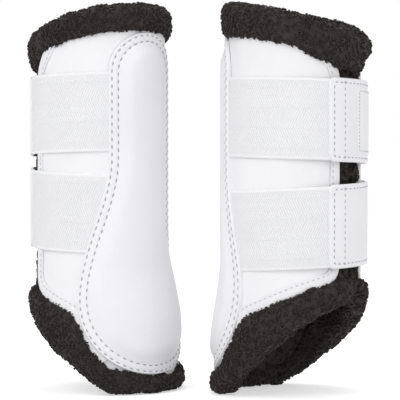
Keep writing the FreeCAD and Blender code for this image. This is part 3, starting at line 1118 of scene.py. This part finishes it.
@dataclass
class FleeceRolls:
    """Collar, hem and the two fleece lips of the closing edges."""

    dresser: Dresser
    inner: float = -11.0
    collar_bulge: float = 4.4
    hem_bulge: float = 4.6
    lip_bulge: float = -0.3
    press: float = 2.0
    shoulder: float = 4.6
    ear: float = 4.0
    ear_reach: float = 26.0
    droop: float = 5.5
    droop_reach: float = 36.0
    lift: float = 6.0
    lift_reach: float = 22.0
    thinning: float = 0.45
    thin_reach: float = 9.0
    step: float = 1.6
    around: int = 44
    squareness: float = 0.72
    lip_squareness: float = 0.8
    lip_overlap: float = 4.0
    lip_head: float = 6.0

    def oval(self, squareness: float) -> list[Point2]:
        """Points of a squared oval of half size 1."""
        turns = [360.0 * i / self.around for i in range(self.around)]
        pairs = [(cosine(t), sine(t)) for t in turns]
        return [(math.copysign(abs(c) ** squareness, c), math.copysign(abs(s) ** squareness, s)) for c, s in pairs]

    def depth(self, outer: float, share: float) -> float:
        """Place between the inner face at -1 and the outer face at 1, above the shell."""
        return (outer + self.inner) / 2 + (outer - self.inner) / 2 * share

    def fleece(self, name: str, sections: list[list[Point3]]) -> Piece:
        """Makes one roll with its pile."""
        d = self.dresser
        made = tube_sheet(d.name(name), d.place, sections, d.finishes.fleece)
        Pile().grow(made, d.finishes.fleece)
        return made

    def roll(self, name: str, first: float, last: float, bulge: float, ear: float,
             low: Line, high: Line) -> Piece:
        """Roll round the tube between two angles.

        Args:
            name: Name of the piece.
            first: First angle.
            last: Last angle.
            bulge: How far the roll stands out of the shell.
            ear: How much more it stands out near its free end.
            low: Height of its underside.
            high: Height of its crown.

        Returns:
            The new piece.
        """
        form = self.dresser.form
        sections = []
        for a in spread(first, last, math.ceil((last - first) / self.step)):
            end = min(form.front_lip - a, a - form.back_lip) * form.arc
            slim = 1.0 - self.thinning * max(0.0, 1.0 - end / self.thin_reach) ** 2
            bottom, top = low(a), high(a)
            if ear > 1.0:
                bottom -= self.droop * smooth(1.5 - (form.front_lip - a) * form.arc / self.droop_reach)
                bottom += self.lift * smooth(1.5 - (a - form.back_lip) * form.arc / self.lift_reach)
            outer = bulge + ear * smooth(1.25 - end / self.ear_reach)
            middle, half = (bottom + top) / 2, (top - bottom) / 2
            ring = []
            for x, y in self.oval(self.squareness):
                z = middle + half * y
                ring.append((a, form.radius(a, z) + self.depth(outer, x * slim), z))
            sections.append(ring)
        return self.fleece(name, sections)

    def strapped(self, angle: float, height: float) -> float:
        """How fully a place lies under one of the straps."""
        turn = angle if angle > 0.0 else angle + 360.0
        share = 0.0
        for middle, rise in zip(STRAP_HEIGHTS[self.dresser.side], STRAP_RISES):
            away = abs(height - middle - rise * min(turn / STRAP_END, 1.0))
            share = max(share, smooth((28.0 - away) / 3.5))
        return share

    def lip(self, name: str, edge: float, end: float) -> Piece:
        """Upright lip along a closing edge.

        Args:
            name: Name of the piece.
            edge: Angle of the shell's edge.
            end: Angle where the lip ends.

        Returns:
            The new piece.
        """
        form = self.dresser.form
        near, far = edge - math.copysign(self.lip_overlap, end - edge), end
        sections = []
        top = form.top_line(edge) + self.lip_head
        for z in spread(form.cut_line(edge) - self.lip_overlap, top, 120):
            ring = []
            swell = self.shoulder * smooth((z - top + 15.0) / 9.0) - self.press * self.strapped(edge, z)
            for x, y in self.oval(self.lip_squareness):
                a = (near + far) / 2 + (far - near) / 2 * x
                outer = self.lip_bulge + (swell if swell < 0.0 else swell * smooth((x + 1.0) / 0.7))
                ring.append((a, form.radius(a, z) + self.depth(outer, y), z))
            sections.append(ring)
        return self.fleece(name, sections)

    def build(self) -> None:
        """Makes all fleece of the boot's rims."""
        form, d = self.dresser.form, self.dresser
        collar_low = lambda a: form.top_line(a) + form.collar_foot
        collar_high = lambda a: form.collar_top(a) - 0.7
        hem_low = lambda a: form.hem_bottom(a) + 0.8
        hem_high = lambda a: form.cut_line(a) + 1.0 + 2.5 * smooth((45.0 - form.cut_line(a)) / 25.0)
        rims = {"collar": (self.collar_bulge, self.ear, collar_low, collar_high),
                "hem": (self.hem_bulge, 1.0, hem_low, hem_high)}
        spans = (("front", "flap", SEAM, form.front_lip), ("back", "body", form.back_lip, SEAM))
        for rim, (bulge, ear, low, high) in rims.items():
            for word, body, first, last in spans:
                roll = self.roll(f"{rim}_{word}", first, last, bulge, ear, low, high)
                d.joins(roll, body, "dark_fleece", [f"{rim}_{body}"])
        for word, edge, end in (("flap", form.front_edge, form.front_lip), ("body", form.back_edge, form.back_lip)):
            d.rides(self.lip(f"lip_{word}", edge, end), word, "dark_fleece", [f"edge_fleece_{word}"])


@dataclass
class StrikePad:
    """Padded shield over the inside of the leg, sewn on with two rows."""

    dresser: Dresser
    half: float = 36.0
    lobe_half: float = 61.6
    lobe_level: float = 62.0
    bottom: float = 12.0
    top: float = 229.6
    dome: float = 26.0
    near_waist: float = 150.0
    far_waist: float = 108.0
    edge: float = 2.6
    crown: float = 5.4
    rows: tuple[float, float] = (2.1, 6.0)
    groove: float = 0.42
    groove_width: float = 0.55
    roundness: float = 1.2
    thread_rise: float = 0.12
    insets: tuple[float, ...] = (0.0, 0.12, 0.35, 0.7, 1.2, 1.6, 2.1, 2.6, 3.3, 4.3, 5.2, 5.6, 6.0, 6.5, 7.2, 8.4,
                                 10.0, 12.0)

    def side(self, height: float, waist: float, half: float) -> float:
        """Half width of the pad at a height, as an angle."""
        reach = (height - self.lobe_level) / (waist - self.lobe_level)
        wide = half + (self.lobe_half - half) * (1.0 - smooth(reach))
        low = min(1.0, max(0.0, (self.lobe_level - height) / (self.lobe_level - self.bottom)))
        high = min(1.0, max(0.0, (height - self.top + self.dome) / self.dome))
        return wide * math.sqrt(1.0 - low**2) * math.sqrt(1.0 - high**2)

    def outline(self, inset: float) -> list[Point2]:
        """Flat outline of the pad.

        Args:
            inset: Distance inside the edge.

        Returns:
            Points in millimetres, anticlockwise.
        """
        low = [self.lobe_level - (self.lobe_level - self.bottom) * cosine(a) for a in spread(0.0, 88.0, 26)]
        middle = spread(self.lobe_level + 1.5, self.top - self.dome - 1.5, 64)
        high = [self.top - self.dome * (1.0 - sine(a)) for a in spread(0.0, 90.0, 16)]
        levels = low + middle + high
        centre = self.dresser.form.pad_angle
        near = [((centre + self.side(z, self.near_waist, self.half)) * ARC, z) for z in levels]
        far = [((centre - self.side(z, self.far_waist, self.half + 2.0)) * ARC, z) for z in levels]
        return inset_by(near + far[-2:0:-1], inset)

    def lift(self, inset: float, point: Point2) -> float:
        """Height of the pad's face above the shell."""
        face = self.edge * rounding(inset / self.roundness)
        for row in self.rows:
            face -= self.groove * math.exp(-(((inset - row) / self.groove_width) ** 2))
        if inset > self.rows[1]:
            deep = 1.0 if inset > self.insets[-1] else smooth((inset - self.rows[1]) / 9.0)
            face += (self.crown - self.edge) * deep
        return face

    def wrap(self, point: Point2, height: float) -> Vector:
        """Lays a flat point on the shell."""
        form, angle = self.dresser.form, point[0] / ARC
        return self.dresser.place.at(angle, form.radius(angle, point[1]) + form.gap + height, point[1])

    def build(self) -> None:
        """Makes the pad and its stitches."""
        d = self.dresser
        middle = d.form.pad_angle * ARC
        spine = ((middle, self.lobe_level - 8.0), (middle, self.top - self.dome - 6.0))
        pad = patch(d.name("strike_pad_skin"), self.outline, list(self.insets), spine, 9, self.lift,
                    lambda inset, point: -0.1, self.wrap, d.finishes.pad)
        d.folds(pad, "pad_skin", ["strike_pad", "strike_pad_foam"])
        paths = [[self.wrap(p, self.lift(row, p) + self.thread_rise) for p in self.outline(row)] for row in self.rows]
        rows = d.rows("pad_stitches", paths, True, d.finishes.thread)
        d.folds(rows, "pad_skin")


@dataclass
class EdgeBinding:
    """Bound border of the shell along its lower and closing edges."""

    dresser: Dresser
    row: float = 5.0
    thread_rise: float = 1.12
    flap_start: float = 8.0
    body_start: float = -80.0
    section: tuple[Point2, ...] = ((-1.1, -2.2), (-1.5, -1.0), (-1.3, 0.4), (-0.5, 1.15), (0.8, 1.35),
                                   (4.0, 1.3), (5.0, 0.95), (6.0, 1.2), (6.5, 0.95), (6.6, 0.1),
                                   (2.0, 0.05), (0.2, -0.6), (0.1, -2.2))

    def edge_line(self, start: float, edge: float) -> list[Point2]:
        """Flat line of the shell's border from below the pad up to the collar.

        Args:
            start: Angle where the binding starts.
            edge: Angle of the closing edge.

        Returns:
            Points in millimetres.
        """
        form = self.dresser.form
        side = math.copysign(1.0, edge - start)
        foot, head = form.foot_corner, form.head_corner
        turn = edge - side * foot / ARC
        count = max(8, math.ceil(abs(turn - start) / 1.6))
        points = [(a * ARC, form.cut_line(a)) for a in spread(start, turn, count)]
        for t in spread(8.0, 82.0, 9):
            angle = turn + side * foot / ARC * sine(t)
            points.append((angle * ARC, form.cut_line(angle) + foot * (1.0 - cosine(t))))
        base, top = form.cut_line(edge) + foot, form.top_line(edge) + 2.0
        points += [(edge * ARC, z) for z in spread(base, top - head, 72)]
        for t in spread(6.0, 90.0, 12):
            angle = edge - side * head / ARC * (1.0 - cosine(t))
            rise = 2.0 + 7.0 * max(0.0, (t - 45.0) / 45.0) ** 2
            points.append((angle * ARC, form.top_line(angle) + rise - head * (1.0 - sine(t))))
        return points

    def on_shell(self, point: Point2, height: float) -> Vector:
        """Lays a flat point on the shell."""
        angle = point[0] / ARC
        return self.dresser.place.at(angle, self.dresser.form.radius(angle, point[1]) + height, point[1])

    def strip(self, word: str, start: float, edge: float) -> tuple[Piece, Piece]:
        """Makes one binding and its row of stitches.

        Args:
            word: The panel's word.
            start: Angle where the binding starts.
            edge: Angle of the closing edge.

        Returns:
            The binding and its stitches.
        """
        d = self.dresser
        side = math.copysign(1.0, edge - start)
        border = self.edge_line(start, edge)
        lines = [inset_by(border, side * inset, False) for inset, _ in self.section]
        verts, uvs, run = [], [], 0.0
        for i in range(len(border)):
            if i:
                run += math.dist(border[i], border[i - 1])
            for k, (inset, height) in enumerate(self.section):
                verts.append(self.on_shell(lines[k][i], height))
                uvs.append((run * MM, inset * MM))
        faces = loft_faces(len(border), len(self.section))
        band = closed_mesh(d.name(f"binding_{word}_tape"), verts, faces, uvs, d.finishes.binding)
        path = [self.on_shell(p, self.thread_rise) for p in inset_by(border, side * self.row, False)]
        rows = d.rows(f"binding_{word}_stitches", [path], False, d.finishes.tab_thread, 3.6, 0.7)
        return band, rows

    def build(self) -> None:
        """Makes the bindings of both panels."""
        d = self.dresser
        for body, start, edge in (("flap", self.flap_start, d.form.front_edge),
                                  ("body", self.body_start, d.form.back_edge)):
            band, row = self.strip(body, start, edge)
            d.joins(band, body, "edge_binding", [f"binding_{body}"])
            d.joins(row, body, "edge_binding")


@dataclass
class Closure:
    """One elastic strap with its tab, hook tape and loop patch."""

    dresser: Dresser
    level: Level
    height: float
    rise: float
    labelled: bool = False
    width: float = 50.0
    thickness: float = 1.4
    tab_angle: float = 101.0
    tab_end: float = STRAP_END
    join: float = 15.0
    sewn: float = 90.0
    tab_base: float = 1.0
    tab_wall: float = 1.9
    root: float = -9.0
    tab_overlap: float = 1.0
    tab_corner: float = 3.5
    thread_sink: float = 0.14
    hook_inset: float = 4.0
    hook_wall: float = 0.85
    loop_span: Point2 = (9.5, -80.0)
    loop_height: float = 40.0
    label_span: Point2 = (131.0, 171.0)
    label_height: float = 40.0
    rows: tuple[float, float] = (3.0, 10.6)

    def middle(self, angle: float) -> float:
        """Height of the strap's middle line."""
        return self.height + self.rise * angle / self.tab_end

    def band_at(self, point: Point2, height: float) -> Vector:
        """Lays a point of the strap on the closed boot; its first value counts from the middle line's start."""
        angle = point[0] / ARC
        return self.dresser.place.at(angle, self.dresser.form.strap_radius + height, self.middle(angle) + point[1])

    def elastic(self, name: str, first: float, last: float) -> Piece:
        """Weaves a length of elastic.

        Args:
            name: Name of the piece.
            first: First angle.
            last: Last angle.

        Returns:
            The new piece.
        """
        half, wall = self.width / 2, self.thickness
        edge = [(-half, 0.1), (-half - 0.15, wall * 0.5), (-half + 0.1, wall - 0.12), (-half + 0.7, wall)]
        top = [(x, wall + 0.06 * math.cos(x * 1.3)) for x in spread(-half + 1.6, half - 1.6, 30)]
        far = [(-x, y) for x, y in edge[::-1]]
        under = [(x, 0.0) for x in spread(half - 1.0, -half + 1.0, 6)]
        section = edge + top + far + under
        angles = spread(first, last, max(6, math.ceil((last - first) / 1.8)))
        verts, uvs = [], []
        for a in angles:
            for across, up in section:
                verts.append(self.band_at((a * ARC, across), up - 0.15))
                uvs.append((a * ARC * MM, across * MM))
        faces = loft_faces(len(angles), len(section))
        return closed_mesh(self.dresser.name(name), verts, faces, uvs, self.dresser.finishes.elastic)

    def flap_patch(self, name: str, first: float, last: float, width: float, corner: float, base: float,
                   thickness: float, grooves: list[float], finish: Finish) -> Piece:
        """Flat piece on the strap's end with rounded edges.

        Args:
            name: Name of the piece.
            first: First angle.
            last: Last angle.
            width: Its height up the boot.
            corner: Radius of its corners.
            base: Where its underside lies above the strap's inner face.
            thickness: Its thickness.
            grooves: Insets that the stitches pull down.
            finish: Its finish.

        Returns:
            The new piece.
        """
        length, centre = (last - first) * ARC, (first + last) / 2 * ARC
        box = rounded_box(length, width, corner)
        outline = lambda inset: [(x + centre, y) for x, y in inset_by(box, inset)]
        soft = thickness * 0.55

        def face(inset: float, point: Point2) -> float:
            """Height of the outer face."""
            up = base + thickness * (0.45 + 0.55 * rounding(inset / soft))
            for groove in grooves:
                up -= 0.28 * math.exp(-(((inset - groove) / 0.5) ** 2))
            return up

        insets = sorted({0.0, soft * 0.2, soft * 0.5, soft, 2.0}
                        | {g + s for g in grooves for s in (-0.6, 0.0, 0.6)})
        reach = max(1.0, length / 2 - width / 2)
        spine = ((centre - reach, 0.0), (centre + reach, 0.0))
        return patch(self.dresser.name(name), outline, insets, spine, 8, face, lambda inset, point: base,
                     self.band_at, finish)

    def build(self) -> None:
        """Makes the closure's pieces."""
        d, word = self.dresser, self.level.value
        on_tab = f"{word}_tab"
        d.folds(self.elastic(f"{word}_elastic_root", self.root, self.join), "white_elastic")
        strap = self.elastic(f"{word}_elastic_strap", self.join, self.sewn)
        d.swings(strap, word, "white_elastic", [f"{word}_elastic"])
        d.peels(self.elastic(f"{word}_elastic_end", self.sewn, self.tab_angle + 4.0), word, "white_elastic")
        base, wall = self.tab_base, self.tab_wall
        tall, low = self.width + 2 * self.tab_overlap, self.width - 2 * self.hook_inset
        tab = self.flap_patch(f"{word}_tab_leather", self.tab_angle, self.tab_end, tall, self.tab_corner,
                              base, wall, [self.rows[0]], d.finishes.tab)
        d.rides(tab, on_tab, "tab_leather", [on_tab])
        first, last = self.tab_angle * ARC + self.rows[0], self.tab_end * ARC - self.rows[0]
        half = self.width / 2 + self.tab_overlap - self.rows[0]
        up = base + wall - self.thread_sink
        border = [self.band_at((x + (first + last) / 2, y), up) for x, y in rounded_box(last - first, 2 * half, 1.5)]
        border.append(border[0])
        inner = self.tab_angle * ARC + self.rows[1]
        cross = [self.band_at((inner, y), up + self.thread_sink) for y in spread(-half, half, 12)]
        rows = d.rows(f"{word}_tab_stitches", [border, cross], False, d.finishes.thread, 3.8, 0.75)
        d.rides(rows, on_tab, "tab_leather")
        hook = self.flap_patch(f"{word}_hook_tape", self.tab_angle + 6.0, self.tab_end - 5.0, low,
                               1.0, 0.1, self.hook_wall, [], d.finishes.hook)
        d.rides(hook, on_tab, "hook_tape", [f"{word}_hook"])
        self.loop(word)
        if self.labelled:
            self.label(on_tab)

    def label(self, on_tab: str) -> None:
        """Sews the bare label on the tab.

        Args:
            on_tab: The tab's word.
        """
        d, (first, last), top = self.dresser, self.label_span, self.tab_base + self.tab_wall
        label = self.flap_patch("label_bare", first, last, self.label_height, 0.6, top - 0.05, 0.6, [1.4],
                                d.finishes.label)
        d.rides(label, on_tab, "woven_label", ["label"])
        box = rounded_box((last - first) * ARC - 2.8, self.label_height - 2.8, 0.8)
        border = [self.band_at((x + (first + last) / 2 * ARC, y), top + 0.52) for x, y in box]
        sewn = d.rows("label_stitches", [border], True, d.finishes.thread, 2.2, 0.4)
        d.rides(sewn, on_tab, "woven_label")

    def loop(self, word: str) -> None:
        """Sews the loop patch on the back panel.

        Args:
            word: The closure's word.
        """
        d, form = self.dresser, self.dresser.form
        first, last = form.back_edge + self.loop_span[0], self.loop_span[1]
        middle = self.middle(self.tab_end)
        length, centre = (last - first) * ARC, (first + last) / 2 * ARC
        box = rounded_box(length, self.loop_height, 1.5)
        outline = lambda inset: [(x + centre, y + middle) for x, y in inset_by(box, inset)]

        def wrap(point: Point2, height: float) -> Vector:
            """Lays a flat point on the shell."""
            angle = point[0] / ARC
            return d.place.at(angle, form.radius(angle, point[1]) + form.gap + height, point[1])

        face = lambda inset, point: 1.3 * rounding(inset / 0.8) + 0.2
        reach = length / 2 - self.loop_height / 2
        spine = ((centre - reach, middle), (centre + reach, middle))
        patch_piece = patch(d.name(f"{word}_loop_tape"), outline, [0.0, 0.15, 0.4, 0.8, 2.0, 3.0], spine, 7,
                            face, lambda inset, point: 0.0, wrap, d.finishes.loop)
        d.rides(patch_piece, "body", "loop_tape", [f"{word}_loop"])


@dataclass
class Boot:
    """One boot of the pair."""

    side: Side
    finishes: Finishes

    def build(self) -> None:
        """Makes the boot's pieces in the order they are sewn."""
        dresser = Dresser(self.side, self.finishes)
        upper, lower = STRAP_HEIGHTS[self.side]
        for part in (ShellPanels(dresser), FleeceRolls(dresser), StrikePad(dresser), EdgeBinding(dresser),
                     Closure(dresser, Level.UPPER, upper, STRAP_RISES[0], labelled=True),
                     Closure(dresser, Level.LOWER, lower, STRAP_RISES[1])):
            part.build()
            LOG.info("%s: %s done", self.side.word, type(part).__name__)


# ---------------------------------------------------------------- studio
@dataclass(frozen=True)
class Studio:
    """Pale floor, white backdrop, soft lamps and the camera."""

    distance: float = 1.25
    eye_height: float = 0.150
    aim_height: float = 0.1225
    lens: float = 174.8
    sensor: float = 36.0
    aside: float = 0.0022
    floor_half: float = 3.0
    floor_glow: float = 0.5
    sky: float = 0.62

    def floor(self) -> None:
        """Lays the floor; what the camera sees straight on is white, apart from the shadow."""
        mesh = bpy.data.meshes.new("floor")
        h = self.floor_half
        mesh.from_pydata([(-h, -h, 0), (h, -h, 0), (h, h, 0), (-h, h, 0)], [], [(0, 1, 2, 3)])
        s = Shader("floor")
        rays = s.tree.nodes.new("ShaderNodeLightPath")
        seen, glossy = (Value(s, rays.outputs[f"Is {ray} Ray"]) for ray in ("Camera", "Glossy"))
        s.feed({"Base Color": (0.8, 0.8, 0.81, 1.0), "Roughness": 0.9, "Specular IOR Level": 0.0,
                "Emission Color": (seen + glossy) * self.floor_glow, "Emission Strength": 1.0})
        mesh.materials.append(s.material)
        linked("floor", mesh)

    def world(self) -> None:
        """A plain light sky that looks white."""
        world = bpy.data.worlds.new("studio")
        world.use_nodes = True
        tree = world.node_tree
        tree.nodes.clear()
        path = tree.nodes.new("ShaderNodeLightPath")
        white = (1.0, 1.0, 1.0, 1.0)
        lit, seen = (add_node(tree, "ShaderNodeBackground", {}, {"Color": white, "Strength": strength})
                     for strength in (self.sky, 1.0))
        mix = add_node(tree, "ShaderNodeMixShader", {}, {
            0: path.outputs["Is Camera Ray"], 1: lit.outputs[0], 2: seen.outputs[0]})
        add_node(tree, "ShaderNodeOutputWorld", {}, {"Surface": mix.outputs[0]})
        bpy.context.scene.world = world

    def aimed(self, name: str, data: Any, place: Point3, target: Point3) -> Piece:
        """Places a lamp or the camera so that it faces a point."""
        made = linked(name, data)
        made.location = place
        made.rotation_euler = (Vector(target) - made.location).to_track_quat("-Z", "Y").to_euler()
        return made

    def lamp(self, name: str, place: Point2, height: float, size: float, power: float) -> None:
        """Hangs a soft square lamp that faces the boots.

        Args:
            name: Name of the lamp.
            place: Where it hangs.
            height: How high.
            size: Its side.
            power: Its power in watts.
        """
        data = bpy.data.lights.new(name, "AREA")
        data.size, data.energy = size, power
        self.aimed(name, data, (*place, height), (0.0, 0.0, 0.12))

    def camera(self) -> None:
        """Sets the camera in front of the pair."""
        data = bpy.data.cameras.new("camera")
        data.lens, data.sensor_width = self.lens, self.sensor
        eye, target = (self.aside, -self.distance, self.eye_height), (self.aside, 0.0, self.aim_height)
        bpy.context.scene.camera = self.aimed("camera", data, eye, target)

    def build(self) -> None:
        """Sets the stage."""
        self.floor()
        self.world()
        self.lamp("key", (-0.9, -1.1), 1.3, 1.2, 12.0)
        self.lamp("fill", (1.2, -0.8), 0.9, 1.2, 5.0)
        self.lamp("top", (0.1, 0.3), 1.6, 1.0, 6.0)
        self.camera()
        bpy.context.scene.view_settings.view_transform = "Standard"


TREES: dict[str, NodeTree] = {}


def main() -> None:
    """Builds the pair and its studio."""
    logging.basicConfig(level=logging.INFO, format="%(name)s %(message)s")
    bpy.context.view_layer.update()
    TREES["stitches"], TREES["pile"] = stitch_tree(), pile_tree()
    finishes = Finishes()
    for side in Side:
        Boot(side, finishes).build()
    Studio().build()


if __name__ == "__main__":
    main()
